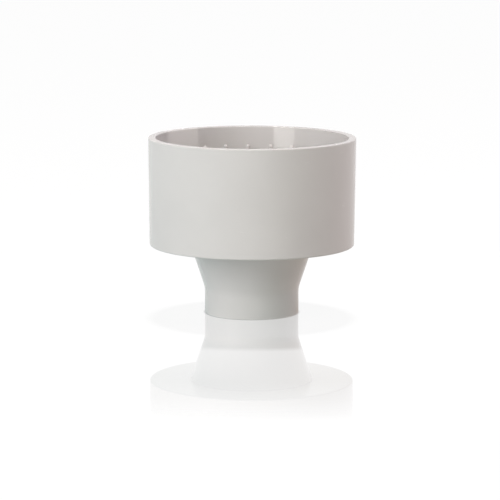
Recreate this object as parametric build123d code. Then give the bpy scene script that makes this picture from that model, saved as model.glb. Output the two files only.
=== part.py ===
from build123d import *
import os
from math import atan2, radians, tan

# Two-piece plastic Buchner funnel. Millimetres, +Z up, origin at the centre of the stem's bottom face.

# Overall sizes
paper_diameter = 90.0  # the standard filter paper that the plate carries
total_height = 92.0
underside_height = 35.75  # the bowl's flat underside above the stem's foot
stem_diameter = 49.0
stem_length = 13.25  # the straight cylinder under the conical shoulder
shoulder_diameter = 64.0  # the cone where it meets the bowl's underside

# Walls
wall = 3.8
bowl_draft = 0.7  # degrees, for release from the mould
rim_rounding = 0.5
foot_rounding = 0.4
underside_rounding = 0.8
crease_rounding = 12.0  # where the shoulder's cone flows into the stem, inside and out

# Guide ribs on the bowl's inner wall
rib_count = 24
rib_depth = 4.3
rib_nose_diameter = 2.4
rib_web_thickness = 1.6
rib_drop = 9.2  # from the rim down to the domed tips
web_drop = 3.0  # from the domed tips down to the webs' tops
rib_turn = 2.7  # degrees, from +Y towards -X, to the first rib

# The bowl's floor and outlet
floor_thickness = 3.8
floor_rise = 1.4  # the floor climbs by this much from the outlet to the ledge
ledge_height = 8.25  # the plate's ledge above the underside
land_width = 4.4  # the ledge reaches this far under the plate's edge
outlet_wall = 3.0
outlet_length = 8.0
outlet_rounding = 0.8
spoke_count = 12
spoke_thickness = 2.0
spoke_setback = 2.5  # from the outlet's edge to the spokes' inner ends

# The joint between bowl and base
seat_width = 5.2  # the annulus on top of the shoulder that carries the bowl
plug_clearance = 0.3  # all round the outlet in its socket
socket_end_gap = 0.3

# The ring seal on the outlet
seal_width = 2.4
seal_depth = 1.5  # of its groove in the outlet's wall
seal_running_gap = 0.05
seal_side_gap = 0.1
seal_rounding = 0.7

# The perforated plate
plate_thickness = 3.5
plate_clearance = 0.3
plate_rounding = 0.5
hole_diameter = 2.0
hole_ring_pitch = 5.5
holes_per_step = 6  # each ring of holes has this many more than the one inside it
plain_border = 6.0  # unpierced edge of the plate

# The flat gasket under the plate's edge
gasket_width = 2.8
gasket_thickness = 2.0
gasket_proud = 0.5  # above the ledge
gasket_side_gap = 0.1
gasket_setback = 0.5  # from the plate's edge to the gasket's recess
gasket_rounding = 0.3

# Radii and heights worked out from the sizes above
plate_radius = paper_diameter / 2
rib_inner_radius = plate_radius + plate_clearance
rib_nose_radius = rib_nose_diameter / 2
rib_centre_radius = rib_inner_radius + rib_nose_radius
ledge_level = underside_height + ledge_height
wall_radius_at_ledge = rib_inner_radius + rib_depth
stem_radius = stem_diameter / 2
stem_bore_radius = stem_radius - wall
shoulder_radius = shoulder_diameter / 2
socket_radius = shoulder_radius - seat_width
outlet_outer_radius = socket_radius - plug_clearance
outlet_inner_radius = outlet_outer_radius - outlet_wall
outlet_end = underside_height - outlet_length
socket_floor = outlet_end - socket_end_gap
floor_level = underside_height + floor_thickness
ledge_inner_radius = plate_radius - land_width
plate_bottom = ledge_level + gasket_proud
gasket_outer_radius = plate_radius - gasket_setback - gasket_side_gap
gasket_inner_radius = gasket_outer_radius - gasket_width
gasket_bottom = plate_bottom - gasket_thickness
seal_middle = underside_height - outlet_length / 2
rib_tip_level = total_height - rib_drop
flare = atan2(shoulder_radius - stem_radius, underside_height - stem_length)


def wall_radius(level):
    """Inner radius of the bowl's drafted wall at a level."""
    return wall_radius_at_ledge + (level - ledge_level) * tan(radians(bowl_draft))


def lathe(points, roundings=()):
    """Turns an outline of (radius, level) points about Z, after rounding the corners that are named."""
    outline = make_face(Polyline(*points, close=True))
    for corner, radius in roundings:
        nearest = outline.vertices().sort_by_distance(Vector(*corner))[0]
        outline = fillet(nearest, radius)
    return revolve(Plane.XZ * outline, axis=Axis.Z)


def ring(inner_radius, outer_radius, low, high, rounding=0.0):
    """An upright ring of rectangular section, with its corners rounded if asked."""
    points = [(inner_radius, low), (outer_radius, low), (outer_radius, high), (inner_radius, high)]
    roundings = [(point, rounding) for point in points if rounding]
    return lathe(points, roundings)


def around(count, piece, start=0.0):
    """Copies of a piece at even angles about Z."""
    return [Rot(0, 0, start + 360 * step / count) * piece for step in range(count)]


def make_base():
    """Conical shoulder and short wide stem, with the socket that takes the bowl's outlet."""
    foot = (stem_radius, 0)
    crease = (stem_radius, stem_length)
    bore_crease = (stem_bore_radius, stem_length + wall * tan(flare / 2))
    throat = stem_bore_radius + (socket_floor - bore_crease[1]) * tan(flare)
    points = [
        (stem_bore_radius, 0),
        foot,
        crease,
        (shoulder_radius, underside_height),
        (socket_radius, underside_height),
        (socket_radius, socket_floor),
        (throat, socket_floor),
        bore_crease,
    ]
    roundings = [
        ((stem_bore_radius, 0), foot_rounding),
        (foot, foot_rounding),
        (crease, crease_rounding),
        (bore_crease, crease_rounding),
        ((socket_radius, underside_height), foot_rounding),
    ]
    return lathe(points, roundings)


def make_bowl_shell():
    """Wall, floor, plate ledge and outlet tube of the bowl, before its ribs and grooves."""
    foot = (wall_radius(underside_height) + wall, underside_height)
    rim_outside = (wall_radius(total_height) + wall, total_height)
    rim_inside = (wall_radius(total_height), total_height)
    outlet_mouth = (outlet_inner_radius, floor_level)
    outlet_tip = (outlet_outer_radius, outlet_end)
    points = [
        (outlet_inner_radius, outlet_end),
        outlet_tip,
        (outlet_outer_radius, underside_height),
        foot,
        rim_outside,
        rim_inside,
        (wall_radius_at_ledge, ledge_level),
        (ledge_inner_radius, ledge_level),
        (ledge_inner_radius, floor_level + floor_rise),
        outlet_mouth,
    ]
    roundings = [
        (outlet_tip, outlet_rounding),
        (foot, underside_rounding),
        (rim_outside, rim_rounding),
        (rim_inside, rim_rounding),
        (outlet_mouth, outlet_rounding),
    ]
    return lathe(points, roundings)


def make_rib():
    """One guide rib: a domed nose joined to the wall by a thinner, lower web."""
    nose_length = rib_tip_level - rib_nose_radius - ledge_level
    column = Cylinder(rib_nose_radius, nose_length, align=(Align.CENTER, Align.CENTER, Align.MIN))
    nose = Pos(rib_centre_radius, 0, ledge_level) * column
    dome = Pos(rib_centre_radius, 0, ledge_level + nose_length) * Sphere(rib_nose_radius)
    web_length = wall_radius(ledge_level) + wall / 2 - rib_centre_radius
    web_height = rib_tip_level - web_drop - ledge_level
    web_box = Box(web_length, rib_web_thickness, web_height, align=(Align.MIN, Align.CENTER, Align.MIN))
    return nose + dome + Pos(rib_centre_radius, 0, ledge_level) * web_box


def make_spoke():
    """One radial spoke on the bowl's floor that holds the plate up against suction."""
    inner = outlet_inner_radius + spoke_setback
    outer = ledge_inner_radius + land_width / 4
    low = underside_height + floor_thickness / 2
    size = (outer - inner, spoke_thickness, ledge_level - low)
    return Pos(inner, 0, low) * Box(*size, align=(Align.MIN, Align.CENTER, Align.MIN))


def make_bowl():
    """The bowl in one piece, with its guide ribs, floor spokes, seal groove and gasket recess."""
    bowl = make_bowl_shell()
    bowl += around(rib_count, make_rib(), 90 + rib_turn)
    bowl += around(spoke_count, make_spoke())
    groove_half = seal_width / 2 + seal_side_gap
    groove_floor = outlet_outer_radius - seal_depth
    bowl -= ring(groove_floor, socket_radius, seal_middle - groove_half, seal_middle + groove_half)
    recess_inner = gasket_inner_radius - gasket_side_gap
    recess_outer = gasket_outer_radius + gasket_side_gap
    bowl -= ring(recess_inner, recess_outer, gasket_bottom, plate_bottom)
    return bowl


def make_outlet_seal():
    """The rubber ring in the outlet's groove, at the size it has when squeezed in the socket."""
    inner = outlet_outer_radius - seal_depth
    outer = socket_radius - seal_running_gap
    return ring(inner, outer, seal_middle - seal_width / 2, seal_middle + seal_width / 2, seal_rounding)


def make_plate_gasket():
    """The flat rubber ring in the ledge, which the plate's edge rests on."""
    return ring(gasket_inner_radius, gasket_outer_radius, gasket_bottom, plate_bottom, gasket_rounding)


def make_filter_plate():
    """The loose perforated plate, with a centre hole and rings of holes round it."""
    top = plate_bottom + plate_thickness
    edges = [(plate_radius, plate_bottom), (plate_radius, top)]
    points = [(0, plate_bottom), *edges, (0, top)]
    plate = lathe(points, [(edge, plate_rounding) for edge in edges])
    drill = Pos(0, 0, plate_bottom + plate_thickness / 2) * Cylinder(hole_diameter / 2, 2 * plate_thickness)
    drills = [drill]
    ring_count = int((plate_radius - plain_border) / hole_ring_pitch)
    for step in range(1, ring_count + 1):
        drills += around(holes_per_step * step, Pos(hole_ring_pitch * step, 0, 0) * drill)
    return plate - drills


def main():
    os.makedirs("parts", exist_ok=True)
    pieces = {
        "base": make_base(),
        "bowl": make_bowl(),
        "outlet_seal": make_outlet_seal(),
        "plate_gasket": make_plate_gasket(),
        "filter_plate": make_filter_plate(),
    }
    for name, piece in pieces.items():
        export_step(piece, f"parts/{name}.step")


main()
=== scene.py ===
import math

import bmesh
import bpy
from mathutils import Euler, Matrix, Vector


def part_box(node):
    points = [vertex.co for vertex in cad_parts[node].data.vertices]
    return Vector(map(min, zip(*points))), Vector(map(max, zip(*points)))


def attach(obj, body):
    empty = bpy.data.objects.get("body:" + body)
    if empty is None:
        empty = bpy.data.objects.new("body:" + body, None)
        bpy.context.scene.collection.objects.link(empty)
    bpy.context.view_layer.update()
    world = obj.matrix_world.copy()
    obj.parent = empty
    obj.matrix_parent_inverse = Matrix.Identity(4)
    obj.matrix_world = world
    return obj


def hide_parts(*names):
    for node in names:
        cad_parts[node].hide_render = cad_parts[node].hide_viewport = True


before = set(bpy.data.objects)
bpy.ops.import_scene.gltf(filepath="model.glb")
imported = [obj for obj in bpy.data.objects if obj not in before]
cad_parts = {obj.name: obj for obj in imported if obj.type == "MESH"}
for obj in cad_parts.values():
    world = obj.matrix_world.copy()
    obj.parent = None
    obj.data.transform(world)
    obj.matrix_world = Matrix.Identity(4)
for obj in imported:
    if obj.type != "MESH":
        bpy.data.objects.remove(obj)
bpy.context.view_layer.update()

MM = 0.001

# -------------------- sizes, in metres, as in the CAD model

WALL = 3.8 * MM
BOWL_DRAFT = math.radians(0.7)
RIM_ROUNDING = 0.5 * MM
FOOT_ROUNDING = 0.4 * MM
UNDERSIDE_ROUNDING = 0.8 * MM
CREASE_ROUNDING = 12.0 * MM
STEM_RADIUS = 24.5 * MM
STEM_LENGTH = 13.25 * MM

RIB_COUNT = 24
RIB_DEPTH = 4.3 * MM
RIB_NOSE_RADIUS = 1.2 * MM
RIB_WEB_HALF = 0.8 * MM
RIB_DROP = 9.2 * MM
WEB_DROP = 3.0 * MM
FIRST_RIB = math.radians(92.7)
PLATE_CLEARANCE = 0.3 * MM

FLOOR_THICKNESS = 3.8 * MM
FLOOR_RISE = 1.4 * MM
LAND_WIDTH = 4.4 * MM
OUTLET_WALL = 3.0 * MM
OUTLET_ROUNDING = 0.8 * MM
SPOKE_COUNT = 12
SPOKE_HALF = 1.0 * MM
SPOKE_SETBACK = 2.5 * MM
SEAT_WIDTH = 5.2 * MM
PLUG_CLEARANCE = 0.3 * MM
SOCKET_END_GAP = 0.3 * MM
SEAL_DEPTH = 1.5 * MM
SIDE_GAP = 0.1 * MM
GASKET_PROUD = 0.5 * MM
GASKET_WIDTH = 2.8 * MM
EDGE = 0.2 * MM

HOLE_RADIUS = 1.0 * MM
HOLE_CHAMFER = 0.15 * MM
HOLE_RING_PITCH = 5.5 * MM
HOLES_PER_STEP = 6
PLAIN_BORDER = 6.0 * MM

TOTAL_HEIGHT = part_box("bowl")[1].z
OUTLET_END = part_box("bowl")[0].z
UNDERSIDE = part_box("base")[1].z
SHOULDER_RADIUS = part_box("base")[1].x
PLATE_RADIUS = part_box("filter_plate")[1].x
PLATE_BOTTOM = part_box("filter_plate")[0].z
PLATE_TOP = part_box("filter_plate")[1].z
GASKET_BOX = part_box("plate_gasket")
SEAL_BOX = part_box("outlet_seal")

LEDGE = PLATE_BOTTOM - GASKET_PROUD
LEDGE_INNER = PLATE_RADIUS - LAND_WIDTH
RIB_CENTRE = PLATE_RADIUS + PLATE_CLEARANCE + RIB_NOSE_RADIUS
WALL_AT_LEDGE = PLATE_RADIUS + PLATE_CLEARANCE + RIB_DEPTH
SOCKET_RADIUS = SHOULDER_RADIUS - SEAT_WIDTH
OUTLET_OUTER = SOCKET_RADIUS - PLUG_CLEARANCE
OUTLET_INNER = OUTLET_OUTER - OUTLET_WALL
RIB_TIP = TOTAL_HEIGHT - RIB_DROP
WEB_TOP = RIB_TIP - WEB_DROP
WEB_ANGLE = math.asin(RIB_WEB_HALF / RIB_NOSE_RADIUS)

SEAL_ROUNDING = 0.7 * MM
SEAL_INNER = OUTLET_OUTER - SEAL_DEPTH
GASKET_ROUNDING = 0.3 * MM
GASKET_INNER = GASKET_BOX[1].x - GASKET_WIDTH
PLATE_ROUNDING = 0.5 * MM

SPOKE_IN_LEDGE = LAND_WIDTH / 8
RING_GAP = 0.3 * MM


# -------------------- fineness of the meshes

COLUMNS_PER_RIB = 8
COLUMNS = RIB_COUNT * COLUMNS_PER_RIB
ARC_STEP = math.radians(15)
ROUNDING_STEPS = 4
ROOT_STEPS = 4
NOSE_STEPS = 12
REAR_STEPS = 4
DOME_STEPS = 6
WALL_STEPS = 6
CELL_STEPS = 4
SHARP_ANGLE = math.radians(40)
BEVEL_ANGLE = math.radians(50)
BEVEL_SEGMENTS = 2


# -------------------- finishes: linear colours, noise scales per metre, and depths

PLASTIC = (0.60, 0.59, 0.575)
PLATE = (0.72, 0.715, 0.70)
PLATE_STAIN = (PLATE[0] * 0.9, PLATE[1] * 0.87, PLATE[2] * 0.8, 1.0)
RUBBER = (0.035, 0.035, 0.034)
PLASTIC_IOR = 1.49
RUBBER_IOR = 1.5
PLASTIC_ROUGHNESS = (0.17, 0.24)
PLATE_ROUGHNESS = (0.38, 0.5)
RUBBER_ROUGHNESS = (0.55, 0.72)
CLOUD_SCALE = 35
SPECK_SCALE = 2200
RUB_SCALE = 120
RUB_REACH = 1.5 * MM
GLOSS_SCALE = 120
SCRATCH_SCALE = 90
SCRATCH_STRETCH = (1, 1, 30)
SCRATCH_DEPTH = 0.006 * MM
PEEL_SCALE = 700
PEEL_DEPTH = 0.006 * MM
GRAIN_SCALE = 3000
GRAIN_DEPTH = 0.03 * MM


# -------------------- light: places in metres, strengths in watts

AIM = (0, 0, 0.055)
BACKDROP_WHITE = 1.02
FLOOR_GLOW = 0.97
FLOOR_ALBEDO = 0.05
FLOOR_HALF_WIDTH = 4.0

# name, place, size, strength, colour, and False where the lamp isn't to be mirrored in the part
SOFTBOXES = [
    ("key", (-0.8, -0.75, 0.45), (0.7, 0.7), 9.1, (1.0, 0.94, 0.96), False),
    ("key_top", (-0.6, -0.6, 1.0), (0.6, 0.6), 1.7, (1.0, 0.99, 0.92)),
    ("fill", (0.0, -1.3, 0.9), (0.7, 0.5), 4.75, (0.85, 1.0, 0.93)),
    ("edge", (1.1, 0.35, 0.3), (0.4, 0.8), 5.2, (0.88, 0.87, 1.0), False),
    ("kicker", (-0.55, -0.65, 0.95), (0.12, 0.12), 0.7, (1.0, 1.0, 1.0)),
    ("overhead", (0.0, 0.0, 1.2), (0.3, 0.3), 1.5, (1.0, 1.0, 1.0)),
    ("top", (0.45, -0.35, 1.15), (0.4, 0.4), 5.6, (1.0, 0.76, 0.76)),
]

# the light from the backdrop and from the floor, each a sum of soft lobes with a direction and a colour
LOBE_POWER = 2.0
WORLD_LOBES = [((0, 1, 0), (1.11, 1.10, 1.04))]
FLOOR_LOBES = [
    ((-1, 0, 0), (0.61, 0.70, 0.70)),
    ((1, 0, 0), (0.58, 0.49, 0.42)),
    ((0, -1, 0), (0.65, 0.67, 0.65)),
    ((0, 1, 0), (1.00, 1.00, 0.985)),
]

# the window patches: how steeply their beams fall, half their height, and how far off their lamps hang
PATCH_CLIMB = math.radians(35)
PATCH_HALF_HEIGHT = 30 * MM
PATCH_REACH = 0.5
PATCH_SOURCE = 0.5 * MM

# name, turn from +Y towards +X, width as an angle, strength, colour
WINDOW_PATCHES = [
    ("window", math.radians(19.9), math.radians(13.8), 2.7, (1.0, 1.0, 0.98)),
    ("window_left", math.radians(-48.5), math.radians(27), 2.2, (1.0, 0.95, 0.92)),
]

# the share of mirror in the floor that the camera sees, by distance from the middle of the foot
MIRROR_REACH = 0.27
MIRROR_SHARES = [
    (0.025, 0.66),
    (0.070, 0.62),
    (0.098, 0.56),
    (0.108, 0.31),
    (0.180, 0.31),
    (0.218, 0.23),
    (0.250, 0.10),
    (0.265, 0.00),
]

# the bowl's faint shadow, painted on the floor, and a painted contact shadow, the dark line where the foot
# meets it
SHADOW_CENTRE = (0, -0.018, 0)
SHADOW_EDGES = (0.058, 0.050)
SHADOW_DEPTH = 0.13
SHADOW_DULLING = 0.27
CONTACT_SHADOW_EDGES = (STEM_RADIUS - 0.3 * MM, STEM_RADIUS + 1.1 * MM)
CONTACT_SHADOW_SHARE = 0.5


# -------------------- camera

CAMERA_DISTANCE = 1.3986
CAMERA_HEIGHT = 0.2568
CAMERA_LEFT = 0.00097
CAMERA_DOWN = math.radians(9.105)
CAMERA_ROLL = math.radians(0.175)
CAMERA_LENS = 195.29
SENSOR_WIDTH = 36.0
NEAREST_SEEN = 0.05
FURTHEST_SEEN = 20.0


def make_camera():
    data = bpy.data.cameras.new("camera")
    data.lens = CAMERA_LENS
    data.sensor_width = SENSOR_WIDTH
    data.clip_start = NEAREST_SEEN
    data.clip_end = FURTHEST_SEEN
    camera = bpy.data.objects.new("camera", data)
    bpy.context.scene.collection.objects.link(camera)
    camera.location = (-CAMERA_LEFT, -CAMERA_DISTANCE, CAMERA_HEIGHT)
    tilt = Euler((math.pi / 2 - CAMERA_DOWN, 0, 0)).to_matrix()
    camera.rotation_mode = "QUATERNION"
    camera.rotation_quaternion = (tilt @ Matrix.Rotation(CAMERA_ROLL, 3, "Z")).to_quaternion()
    bpy.context.scene.camera = camera


# -------------------- outlines and lathe work

def rounded(corners):
    """An open outline of (radius, height) points, from corners given as (radius, height, rounding)."""
    outline = []
    for index, (r, z, rounding) in enumerate(corners):
        here = Vector((r, z))
        if not rounding:
            outline.append(here)
            continue
        before = (Vector(corners[index - 1][:2]) - here).normalized()
        after = (Vector(corners[(index + 1) % len(corners)][:2]) - here).normalized()
        half = before.angle(after) / 2
        reach = rounding / math.tan(half)
        centre = here + (before + after).normalized() * (rounding / math.sin(half))
        start = here + before * reach - centre
        turn = start.angle_signed(here + after * reach - centre)
        steps = max(3, math.ceil(abs(turn) / ARC_STEP))
        for step in range(steps + 1):
            arm = start.copy()
            arm.rotate(Matrix.Rotation(-turn * step / steps, 2))
            outline.append(centre + arm)
    return outline


def on_circle(radius, angle, centre=(0.0, 0.0)):
    return centre[0] + radius * math.cos(angle), centre[1] + radius * math.sin(angle)


def circle(mesh, radius, height, count=COLUMNS, start=0.0):
    """A ring of vertices about Z, evenly spaced from the starting angle."""
    step = 2 * math.pi / count
    return [mesh.verts.new((*on_circle(radius, start + step * i), height)) for i in range(count)]


def bridge(mesh, lower, upper):
    """Quads between two closed loops with as many vertices each."""
    count = len(lower)
    for i in range(count):
        j = (i + 1) % count
        mesh.faces.new((lower[i], lower[j], upper[j], upper[i]))


def sweep(mesh, outline, closed=True):
    """Turns an outline about Z and returns its first and last rings."""
    rings = [circle(mesh, point.x, point.y, start=FIRST_RIB) for point in outline]
    pairs = list(zip(rings, rings[1:]))
    if closed:
        pairs.append((rings[-1], rings[0]))
    for lower, upper in pairs:
        bridge(mesh, lower, upper)
    return rings[0], rings[-1]


def finish_piece(name, mesh, body, node, material, bevel=0.0):
    """Makes the object, smooths it, and lets it stand for its CAD node."""
    bmesh.ops.recalc_face_normals(mesh, faces=mesh.faces)
    data = bpy.data.meshes.new(name)
    mesh.to_mesh(data)
    mesh.free()
    for polygon in data.polygons:
        polygon.use_smooth = True
    data.set_sharp_from_angle(angle=SHARP_ANGLE)
    piece = bpy.data.objects.new(name, data)
    bpy.context.scene.collection.objects.link(piece)
    if bevel:
        edge = piece.modifiers.new("edges", "BEVEL")
        edge.width = bevel
        edge.segments = BEVEL_SEGMENTS
        edge.limit_method = "ANGLE"
        edge.angle_limit = BEVEL_ANGLE
    normals = piece.modifiers.new("normals", "WEIGHTED_NORMAL")
    normals.keep_sharp = True
    data.materials.append(material)
    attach(piece, body)
    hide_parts(node)
    return piece


# -------------------- base and seals

def make_base(material):
    flare = math.atan2(SHOULDER_RADIUS - STEM_RADIUS, UNDERSIDE - STEM_LENGTH)
    bore = STEM_RADIUS - WALL
    bore_crease = STEM_LENGTH + WALL * math.tan(flare / 2)
    socket_floor = OUTLET_END - SOCKET_END_GAP
    throat = bore + (socket_floor - bore_crease) * math.tan(flare)
    corners = [
        (bore, 0, FOOT_ROUNDING),
        (STEM_RADIUS, 0, FOOT_ROUNDING),
        (STEM_RADIUS, STEM_LENGTH, CREASE_ROUNDING),
        (SHOULDER_RADIUS, UNDERSIDE, EDGE),
        (SOCKET_RADIUS, UNDERSIDE, FOOT_ROUNDING),
        (SOCKET_RADIUS, socket_floor, EDGE),
        (throat, socket_floor, EDGE),
        (bore, bore_crease, CREASE_ROUNDING),
    ]
    mesh = bmesh.new()
    sweep(mesh, rounded(corners))
    return finish_piece("funnel_base", mesh, "base", "base", material)


def make_ring_piece(name, box, inner, rounding, node, material):
    """A rubber ring of rectangular section with rounded corners, as tall and wide as its box."""
    low, high = box[0].z, box[1].z
    outer = box[1].x
    places = [(inner, low), (outer, low), (outer, high), (inner, high)]
    corners = [(*place, rounding) for place in places]
    mesh = bmesh.new()
    sweep(mesh, rounded(corners))
    return finish_piece(name, mesh, "bowl", node, material)


# -------------------- bowl

def wall_radius(height):
    return WALL_AT_LEDGE + (height - LEDGE) * math.tan(BOWL_DRAFT)


def column_angle(column):
    return FIRST_RIB + 2 * math.pi * column / COLUMNS


def on_nose(angle):
    return on_circle(RIB_NOSE_RADIUS, angle, (RIB_CENTRE, 0.0))


def rib_section(height):
    """One rib's horizontal outline at a height, as (radius along the rib, sideways) points."""
    wall = wall_radius(height)
    root = wall * math.sin(2 * math.pi / COLUMNS)
    root_depth = wall * math.cos(2 * math.pi / COLUMNS)
    blend = root - RIB_WEB_HALF
    half = []
    for step in range(1, ROOT_STEPS + 1):
        a = math.pi / 2 * step / ROOT_STEPS
        half.append((root_depth - blend * (1 - math.cos(a)), root - blend * math.sin(a)))
    open_angle = 2 * math.pi - 2 * WEB_ANGLE
    front = [on_nose(WEB_ANGLE + open_angle * step / NOSE_STEPS) for step in range(NOSE_STEPS + 1)]
    other = [(r, -side) for r, side in reversed(half)]
    return half, front, other


def along_rib(mesh, rib, point, height):
    angle = column_angle(rib * COLUMNS_PER_RIB)
    r, side = point
    x = r * math.cos(angle) - side * math.sin(angle)
    y = r * math.sin(angle) + side * math.cos(angle)
    return mesh.verts.new((x, y, height))


def ribbed_level(mesh, height):
    """The inner wall with its ribs at one height: each rib's vertices, and the plain wall's by column."""
    half, front, other = rib_section(height)
    ribs = []
    for rib in range(RIB_COUNT):
        ribs.append([along_rib(mesh, rib, point, height) for point in half + front + other])
    radius = wall_radius(height)
    columns = {}
    for column in range(COLUMNS):
        if column % COLUMNS_PER_RIB:
            columns[column] = mesh.verts.new((*on_circle(radius, column_angle(column)), height))
    return ribs, columns


def ribbed_loop(level):
    ribs, columns = level
    loop = []
    for rib in range(RIB_COUNT):
        loop += reversed(ribs[rib])
        start = rib * COLUMNS_PER_RIB
        loop += [columns[start + step] for step in range(1, COLUMNS_PER_RIB)]
    return loop


def join_ring_to_ribs(mesh, ring, level):
    """Flat faces between a plain ring and the foot or top of the ribbed wall."""
    ribs, columns = level
    for column in range(COLUMNS):
        following = (column + 1) % COLUMNS
        if column % COLUMNS_PER_RIB and following % COLUMNS_PER_RIB:
            mesh.faces.new((ring[column], ring[following], columns[following], columns[column]))
    for rib in range(RIB_COUNT):
        middle = rib * COLUMNS_PER_RIB
        left, right = (middle - 1) % COLUMNS, middle + 1
        across = [ring[left], ring[middle], ring[right]]
        mesh.faces.new(across + [columns[right]] + ribs[rib] + [columns[left]])


def make_bowl_tips(mesh, level):
    """Closes the webs on top, carries the noses up and domes them; returns the plain wall's ring."""
    ribs, columns = level
    radius = wall_radius(WEB_TOP)
    ring = []
    for column in range(COLUMNS):
        place = (*on_circle(radius, column_angle(column)), WEB_TOP)
        ring.append(columns[column] if column in columns else mesh.verts.new(place))
    for rib, outline in enumerate(ribs):
        middle = rib * COLUMNS_PER_RIB
        rear = []
        for step in range(1, REAR_STEPS):
            point = on_nose(-WEB_ANGLE + 2 * WEB_ANGLE * step / REAR_STEPS)
            rear.append(along_rib(mesh, rib, point, WEB_TOP))
        left_web, right_web = outline[:ROOT_STEPS], outline[-ROOT_STEPS:]
        nose = outline[ROOT_STEPS:-ROOT_STEPS]
        top = [ring[middle + 1], *left_web, nose[0], *reversed(rear), nose[-1], *right_web]
        mesh.faces.new(top + [ring[(middle - 1) % COLUMNS], ring[middle]])
        lowest = nose + rear
        lower = lowest
        axis = Vector((*on_circle(RIB_CENTRE, column_angle(middle)), 0))
        for step in range(DOME_STEPS):
            a = math.pi / 2 * step / DOME_STEPS
            height = RIB_TIP - RIB_NOSE_RADIUS * (1 - math.sin(a))
            upper = []
            for vertex in lowest:
                arm = Vector((vertex.co.x, vertex.co.y, 0)) - axis
                upper.append(mesh.verts.new(axis + arm * math.cos(a) + Vector((0, 0, height))))
            bridge(mesh, lower, upper)
            lower = upper
        tip = mesh.verts.new(axis + Vector((0, 0, RIB_TIP)))
        for i in range(len(lower)):
            mesh.faces.new((lower[i], lower[(i + 1) % len(lower)], tip))
    return ring


def add_spokes(mesh):
    """The radial spokes on the bowl's floor that hold the plate up."""
    inner = OUTLET_INNER + SPOKE_SETBACK
    outer = LEDGE_INNER + SPOKE_IN_LEDGE
    low = UNDERSIDE + FLOOR_THICKNESS / 2
    for spoke in range(SPOKE_COUNT):
        turn = Matrix.Rotation(2 * math.pi * spoke / SPOKE_COUNT, 4, "Z")
        place = Matrix.Translation(((inner + outer) / 2, 0, (low + LEDGE) / 2))
        size = Matrix.Diagonal((outer - inner, 2 * SPOKE_HALF, LEDGE - low, 1))
        bmesh.ops.create_cube(mesh, size=1, matrix=turn @ place @ size)


def make_bowl(material):
    groove = OUTLET_OUTER - SEAL_DEPTH
    seal_low, seal_high = SEAL_BOX[0].z - SIDE_GAP, SEAL_BOX[1].z + SIDE_GAP
    recess_outer = GASKET_BOX[1].x + SIDE_GAP
    recess_inner = GASKET_INNER - SIDE_GAP
    recess_floor = GASKET_BOX[0].z
    floor_level = UNDERSIDE + FLOOR_THICKNESS
    corners = [
        (wall_radius(WEB_TOP), WEB_TOP, 0),
        (wall_radius(TOTAL_HEIGHT), TOTAL_HEIGHT, RIM_ROUNDING),
        (wall_radius(TOTAL_HEIGHT) + WALL, TOTAL_HEIGHT, RIM_ROUNDING),
        (wall_radius(UNDERSIDE) + WALL, UNDERSIDE, UNDERSIDE_ROUNDING),
        (OUTLET_OUTER, UNDERSIDE, EDGE),
        (OUTLET_OUTER, seal_high, EDGE),
        (groove, seal_high, EDGE),
        (groove, seal_low, EDGE),
        (OUTLET_OUTER, seal_low, EDGE),
        (OUTLET_OUTER, OUTLET_END, OUTLET_ROUNDING),
        (OUTLET_INNER, OUTLET_END, EDGE),
        (OUTLET_INNER, floor_level, OUTLET_ROUNDING),
        (LEDGE_INNER, floor_level + FLOOR_RISE, EDGE),
        (LEDGE_INNER, LEDGE, EDGE),
        (recess_inner, LEDGE, EDGE),
        (recess_inner, recess_floor, EDGE),
        (recess_outer, recess_floor, EDGE),
        (recess_outer, LEDGE, EDGE),
        (PLATE_RADIUS, LEDGE, 0),
    ]
    mesh = bmesh.new()
    heights = [LEDGE + (WEB_TOP - LEDGE) * step / WALL_STEPS for step in range(WALL_STEPS + 1)]
    levels = [ribbed_level(mesh, height) for height in heights]
    for lower, upper in zip(levels, levels[1:]):
        bridge(mesh, ribbed_loop(lower), ribbed_loop(upper))
    top_ring = make_bowl_tips(mesh, levels[-1])
    outline = rounded(corners)
    first, last = sweep(mesh, outline[1:], closed=False)
    bridge(mesh, top_ring, first)
    join_ring_to_ribs(mesh, last, levels[0])
    add_spokes(mesh)
    return finish_piece("funnel_bowl", mesh, "bowl", "bowl", material, bevel=EDGE)


# -------------------- perforated plate

def join_rings(mesh, inner, outer):
    """Triangles between two rings about Z, whatever their counts and starts."""
    def turn(vertex):
        return math.atan2(vertex.co.y, vertex.co.x) % (2 * math.pi)

    inner = sorted(inner, key=turn)
    outer = sorted(outer, key=turn)
    inner_turns = [turn(vertex) for vertex in inner] + [turn(inner[0]) + 2 * math.pi]
    outer_turns = [turn(vertex) for vertex in outer] + [turn(outer[0]) + 2 * math.pi]
    i = j = 0
    while i < len(inner) or j < len(outer):
        a = inner[i % len(inner)]
        b = outer[j % len(outer)]
        step_inside = i < len(inner) and (j == len(outer) or inner_turns[i + 1] < outer_turns[j + 1])
        if step_inside:
            mesh.faces.new((a, b, inner[(i + 1) % len(inner)]))
            i += 1
        else:
            mesh.faces.new((a, b, outer[(j + 1) % len(outer)]))
            j += 1


def hole_edge(mesh, border, centre, height):
    """A round hole's edge inside a border of vertices, one for each of them."""
    edge = []
    for vertex in border:
        arm = (vertex.co.xy - Vector(centre)).normalized() * (HOLE_RADIUS + HOLE_CHAMFER)
        edge.append(mesh.verts.new((centre[0] + arm.x, centre[1] + arm.y, height)))
    bridge(mesh, border, edge)
    return edge


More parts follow.
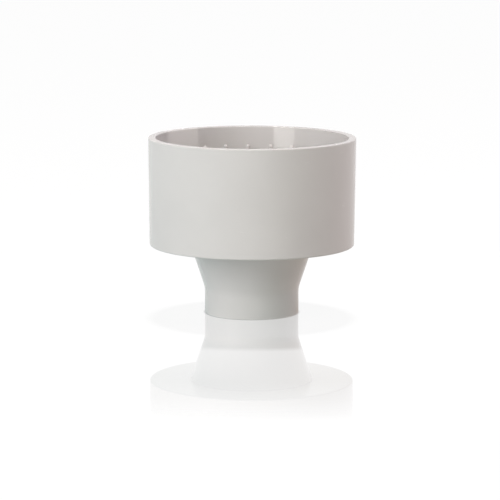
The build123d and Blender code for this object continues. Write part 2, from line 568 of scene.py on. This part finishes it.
def pierced_face(mesh, height):
    """One face of the plate: the edge of each hole, and the face's outermost ring."""
    steps = int((PLATE_RADIUS - PLAIN_BORDER) / HOLE_RING_PITCH)
    band_half = HOLE_RING_PITCH / 2 - RING_GAP
    inner_ring = circle(mesh, band_half, height, CELL_STEPS * HOLES_PER_STEP)
    edges = [hole_edge(mesh, inner_ring, (0, 0), height)]
    for step in range(1, steps + 1):
        count = HOLES_PER_STEP * step
        around = CELL_STEPS * count
        half_turn = math.pi / count
        radius = HOLE_RING_PITCH * step
        low = circle(mesh, radius - band_half, height, around, -half_turn)
        high = circle(mesh, radius + band_half, height, around, -half_turn)
        between = circle(mesh, radius, height, count, -half_turn)
        join_rings(mesh, inner_ring, low)
        for hole in range(count):
            across = [(CELL_STEPS * hole + corner) % around for corner in range(CELL_STEPS + 1)]
            border = [high[corner] for corner in across] + [between[(hole + 1) % count]]
            border += [low[corner] for corner in reversed(across)] + [between[hole]]
            edges.append(hole_edge(mesh, border, on_circle(radius, 2 * half_turn * hole), height))
        inner_ring = high
    rim = circle(mesh, PLATE_RADIUS - PLATE_ROUNDING, height)
    join_rings(mesh, inner_ring, rim)
    return edges, rim


def make_plate(material):
    mesh = bmesh.new()
    bottom_edges, bottom_rim = pierced_face(mesh, PLATE_BOTTOM)
    top_edges, top_rim = pierced_face(mesh, PLATE_TOP)
    for low_edge, high_edge in zip(bottom_edges, top_edges):
        centre = sum((vertex.co for vertex in low_edge), Vector()) / len(low_edge)
        lower = low_edge
        for height in (PLATE_BOTTOM + HOLE_CHAMFER, PLATE_TOP - HOLE_CHAMFER):
            upper = []
            for vertex in low_edge:
                arm = (vertex.co - centre).xy.normalized() * HOLE_RADIUS
                upper.append(mesh.verts.new((centre.x + arm.x, centre.y + arm.y, height)))
            bridge(mesh, lower, upper)
            lower = upper
        bridge(mesh, lower, high_edge)
    lower = bottom_rim
    for step in range(1, 2 * ROUNDING_STEPS + 1):
        a = math.pi * step / (2 * ROUNDING_STEPS + 1) - math.pi / 2
        middle = PLATE_BOTTOM + PLATE_ROUNDING if a < 0 else PLATE_TOP - PLATE_ROUNDING
        radius = PLATE_RADIUS - PLATE_ROUNDING * (1 - math.cos(a))
        upper = circle(mesh, radius, middle + PLATE_ROUNDING * math.sin(a))
        bridge(mesh, lower, upper)
        lower = upper
    bridge(mesh, lower, top_rim)
    return finish_piece("perforated_plate", mesh, "plate", "filter_plate", material)


# -------------------- materials

class Nodes:
    """Adds nodes to the tree of a material or a world."""

    def __init__(self, owner):
        owner.use_nodes = True
        self.owner = owner
        self.tree = owner.node_tree
        self.tree.nodes.clear()

    def add(self, kind, settings=None, **sockets):
        """A node whose sockets, named or numbered as _0, are fed by values or by other nodes' sockets."""
        node = self.tree.nodes.new("ShaderNode" + kind)
        for key, value in (settings or {}).items():
            setattr(node, key, value)
        for key, value in sockets.items():
            socket = node.inputs[int(key[1:])] if key[0] == "_" else node.inputs[key.replace("_", " ")]
            if isinstance(value, bpy.types.NodeSocket):
                self.tree.links.new(value, socket)
            else:
                socket.default_value = value
        return node

    def place(self):
        return self.add("TexCoord").outputs["Object"]

    def noise(self, scale, detail=2.0, stretch=(1, 1, 1)):
        spot = self.place()
        if stretch != (1, 1, 1):
            spot = self.add("Mapping", Vector=spot, Scale=stretch).outputs[0]
        return self.add("TexNoise", Vector=spot, Scale=scale, Detail=detail).outputs["Fac"]

    def spread(self, value, low, high, to_low=0.0, to_high=1.0):
        """Value's range low to high, stretched over to_low to to_high and held at the ends."""
        node = self.add("MapRange", _0=value, _1=low, _2=high, _3=to_low, _4=to_high)
        return node.outputs[0]

    def math(self, operation, first, second=0.0):
        return self.add("Math", {"operation": operation}, _0=first, _1=second).outputs[0]

    def distance(self, place, centre):
        return self.add("VectorMath", {"operation": "DISTANCE"}, _0=place, _1=centre).outputs["Value"]

    def blend(self, share, first, second):
        node = self.add("Mix", {"data_type": "RGBA"}, _0=share, _6=first, _7=second)
        return node.outputs[2]

    def bump(self, height, distance, strength, under=None):
        sockets = {"Height": height, "Distance": distance, "Strength": strength}
        if under:
            sockets["Normal"] = under
        return self.add("Bump", **sockets).outputs[0]

    def finish(self, shader, kind="OutputMaterial"):
        output = self.add(kind)
        self.tree.links.new(shader, output.inputs["Surface"])
        return self.owner


def shade(colour, factor):
    return tuple(channel * factor for channel in colour) + (1.0,)


def moulded_plastic():
    """Warm light grey and glossy, with faint clouds, specks, scratches, orange peel, and rubbed ends."""
    n = Nodes(bpy.data.materials.new("moulded_plastic"))
    cloud = n.spread(n.noise(CLOUD_SCALE, 3), 0.35, 0.65)
    speck = n.spread(n.noise(SPECK_SCALE, 2), 0.62, 0.70)
    height = n.add("SeparateXYZ", _0=n.place()).outputs["Z"]
    rim = n.spread(height, TOTAL_HEIGHT - RUB_REACH, TOTAL_HEIGHT)
    foot = n.spread(height, RUB_REACH, 0.0)
    edge = n.math("MAXIMUM", rim, foot)
    rubbed = n.math("MULTIPLY", edge, n.spread(n.noise(RUB_SCALE, 2), 0.4, 0.7))
    tone = n.blend(cloud, shade(PLASTIC, 0.985), shade(PLASTIC, 1.015))
    tone = n.blend(n.math("MULTIPLY", speck, 0.1), tone, shade(PLASTIC, 0.8))
    tone = n.blend(n.math("MULTIPLY", rubbed, 0.03), tone, shade(PLASTIC, 1.1))
    scratch = n.spread(n.noise(SCRATCH_SCALE, 2, stretch=SCRATCH_STRETCH), 0.66, 0.72)
    rough = n.spread(n.noise(GLOSS_SCALE, 4), 0.3, 0.7, *PLASTIC_ROUGHNESS)
    rough = n.math("ADD", rough, n.math("MULTIPLY", rubbed, 0.05))
    rough = n.math("ADD", rough, n.math("MULTIPLY", scratch, 0.05))
    plain = n.math("SUBTRACT", 1.0, edge)
    peel = n.bump(n.math("MULTIPLY", n.noise(PEEL_SCALE, 2), plain), PEEL_DEPTH, 0.35)
    normal = n.bump(scratch, SCRATCH_DEPTH, 0.3, under=peel)
    shader = n.add("BsdfPrincipled", Base_Color=tone, Roughness=rough, Normal=normal, IOR=PLASTIC_IOR)
    return n.finish(shader.outputs[0])


def plate_plastic():
    """Whiter and satin, with a fine sparked texture and faint stains."""
    n = Nodes(bpy.data.materials.new("plate_plastic"))
    cloud = n.spread(n.noise(CLOUD_SCALE, 4), 0.35, 0.65)
    stain = n.spread(n.noise(RUB_SCALE, 5), 0.58, 0.72)
    tone = n.blend(cloud, shade(PLATE, 0.97), shade(PLATE, 1.02))
    tone = n.blend(n.math("MULTIPLY", stain, 0.2), tone, PLATE_STAIN)
    rough = n.spread(n.noise(GLOSS_SCALE, 4), 0.3, 0.7, *PLATE_ROUGHNESS)
    grain = n.bump(n.noise(GRAIN_SCALE, 3), GRAIN_DEPTH, 0.4)
    shader = n.add("BsdfPrincipled", Base_Color=tone, Roughness=rough, Normal=grain, IOR=PLASTIC_IOR)
    return n.finish(shader.outputs[0])


def seal_rubber():
    """Dark grey and matt, with a bloom of paler powder and a fine grain."""
    n = Nodes(bpy.data.materials.new("seal_rubber"))
    bloom = n.spread(n.noise(RUB_SCALE, 5), 0.4, 0.65)
    tone = n.blend(bloom, shade(RUBBER, 0.9), shade(RUBBER, 1.3))
    rough = n.spread(n.noise(GLOSS_SCALE, 3), 0.3, 0.7, *RUBBER_ROUGHNESS)
    grain = n.bump(n.noise(GRAIN_SCALE, 3), GRAIN_DEPTH, 0.5)
    shader = n.add("BsdfPrincipled", Base_Color=tone, Roughness=rough, Normal=grain, IOR=RUBBER_IOR)
    return n.finish(shader.outputs[0])


# -------------------- studio

def shares_by_direction(n, direction, lobes):
    """A colour summed from soft lobes, each a direction and a colour."""
    total = None
    for axis, colour in lobes:
        facing = n.add("VectorMath", {"operation": "DOT_PRODUCT"}, _0=direction, _1=axis).outputs["Value"]
        share = n.math("POWER", n.math("MAXIMUM", facing, 0.0), LOBE_POWER)
        lobe = n.add("VectorMath", {"operation": "SCALE"}, _0=colour, Scale=share).outputs[0]
        total = n.add("VectorMath", {"operation": "ADD"}, _0=total, _1=lobe).outputs[0] if total else lobe
    return total


def seen_floor(n, spot):
    """White, and a mirror that fades outwards, with the bowl's faint shadow and a dark contact-shadow line
    at the foot, both painted on the floor.
    """
    away = n.distance(spot, (0, 0, 0))
    # painted contact shadow: the floor's glow and mirror are darkened in a thin ring round the foot
    contact_shadow = n.spread(away, *CONTACT_SHADOW_EDGES, CONTACT_SHADOW_SHARE, 1.0)
    # painted shadow of the bowl: the floor's glow and its mirror share drop in a soft disc under the bowl
    under = n.distance(spot, SHADOW_CENTRE)
    brightness = n.spread(under, *SHADOW_EDGES, FLOOR_GLOW, FLOOR_GLOW - SHADOW_DEPTH)
    brightness = n.math("MULTIPLY", brightness, contact_shadow)
    white = n.add("Emission", Color=(1, 1, 1, 1), Strength=brightness).outputs[0]
    lit = n.add("BsdfDiffuse", Color=(FLOOR_ALBEDO,) * 3 + (1,)).outputs[0]
    plain = n.add("AddShader", _0=white, _1=lit).outputs[0]
    ramp = n.add("ValToRGB", Fac=n.math("DIVIDE", away, MIRROR_REACH))
    stops = ramp.color_ramp.elements
    while len(stops) < len(MIRROR_SHARES):
        stops.new(0.5)
    for stop, (distance, share) in zip(stops, MIRROR_SHARES):
        stop.position = distance / MIRROR_REACH
        stop.color = (share, share, share, 1)
    dulled = n.spread(under, *SHADOW_EDGES, 1.0, 1.0 - SHADOW_DULLING)
    share = n.math("MULTIPLY", ramp.outputs["Color"], dulled)
    share = n.math("MULTIPLY", share, contact_shadow)
    mirror = n.add("BsdfGlossy", Color=(1, 1, 1, 1), Roughness=0.0).outputs[0]
    return n.add("MixShader", _0=share, _1=plain, _2=mirror).outputs[0]


def floor_material():
    """A polished white floor on top, clear from below. The light that it throws back on the part is uneven,
    brightest from behind, as in a studio lit from one side."""
    n = Nodes(bpy.data.materials.new("floor"))
    geometry = n.add("NewGeometry")
    spot = geometry.outputs["Position"]
    direction = n.add("VectorMath", {"operation": "NORMALIZE"}, _0=spot).outputs[0]
    glow = n.add("Emission", Color=shares_by_direction(n, direction, FLOOR_LOBES), Strength=1.0).outputs[0]
    seen = n.add("LightPath").outputs["Is Camera Ray"]
    top = n.add("MixShader", _0=seen, _1=glow, _2=seen_floor(n, spot)).outputs[0]
    clear = n.add("BsdfTransparent").outputs[0]
    return n.finish(n.add("MixShader", _0=geometry.outputs["Backfacing"], _1=top, _2=clear).outputs[0])


def make_floor():
    mesh = bmesh.new()
    bmesh.ops.create_grid(mesh, x_segments=1, y_segments=1, size=FLOOR_HALF_WIDTH)
    data = bpy.data.meshes.new("floor")
    mesh.to_mesh(data)
    mesh.free()
    floor = bpy.data.objects.new("floor", data)
    bpy.context.scene.collection.objects.link(floor)
    data.materials.append(floor_material())


def make_world():
    """White wherever it is seen or mirrored, while the light it gives comes from behind."""
    world = bpy.data.worlds.new("studio")
    bpy.context.scene.world = world
    n = Nodes(world)
    light_path = n.add("LightPath")
    seen = n.math("MAXIMUM", light_path.outputs["Is Camera Ray"], light_path.outputs["Is Glossy Ray"])
    direction = n.add("TexCoord").outputs["Generated"]
    colour = n.blend(seen, shares_by_direction(n, direction, WORLD_LOBES), (BACKDROP_WHITE,) * 3 + (1,))
    n.finish(n.add("Background", Color=colour, Strength=1.0).outputs[0], "OutputWorld")


def hang_light(name, data, place, aim):
    light = bpy.data.objects.new(name, data)
    bpy.context.scene.collection.objects.link(light)
    light.location = place
    light.rotation_mode = "QUATERNION"
    light.rotation_quaternion = (Vector(aim) - Vector(place)).to_track_quat("-Z", "Y")
    return light


def make_softbox(name, place, size, watts, colour, mirrored=True):
    data = bpy.data.lights.new(name, "AREA")
    data.shape = "RECTANGLE"
    data.size, data.size_y = size
    data.energy = watts
    data.color = colour
    hang_light(name, data, place, AIM).visible_glossy = mirrored


def make_window_patch(name, turn, width, watts, colour, bowl):
    """A tall narrow beam that draws a bright upright patch on the bowl's inner wall and lights it alone."""
    radius = wall_radius(TOTAL_HEIGHT)
    middle = Vector((radius * math.sin(turn), radius * math.cos(turn), TOTAL_HEIGHT))
    level = Vector((-math.sin(turn), -math.cos(turn), 0)) * math.cos(PATCH_CLIMB)
    back = level + Vector((0, 0, math.sin(PATCH_CLIMB)))
    data = bpy.data.lights.new(name, "SPOT")
    data.energy = watts
    data.color = colour
    data.spot_size = 2 * math.atan(PATCH_HALF_HEIGHT / PATCH_REACH)
    data.spot_blend = 0.0
    data.shadow_soft_size = PATCH_SOURCE
    beam = hang_light(name, data, middle + back * PATCH_REACH, middle)
    beam.scale.x = radius * math.sin(width / 2) / PATCH_HALF_HEIGHT
    beam.visible_glossy = False
    receivers = bpy.data.collections.new(name + "_receivers")
    receivers.objects.link(bowl)
    beam.light_linking.receiver_collection = receivers
    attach(beam, "bowl")


# -------------------- the scene

make_camera()
make_world()
make_floor()
bpy.context.scene.view_settings.view_transform = "Standard"
for softbox in SOFTBOXES:
    make_softbox(*softbox)

plastic = moulded_plastic()
rubber = seal_rubber()
make_base(plastic)
bowl = make_bowl(plastic)
for patch in WINDOW_PATCHES:
    make_window_patch(*patch, bowl)
make_plate(plate_plastic())
make_ring_piece("outlet_seal_ring", SEAL_BOX, SEAL_INNER, SEAL_ROUNDING, "outlet_seal", rubber)
make_ring_piece("plate_gasket_ring", GASKET_BOX, GASKET_INNER, GASKET_ROUNDING, "plate_gasket", rubber)
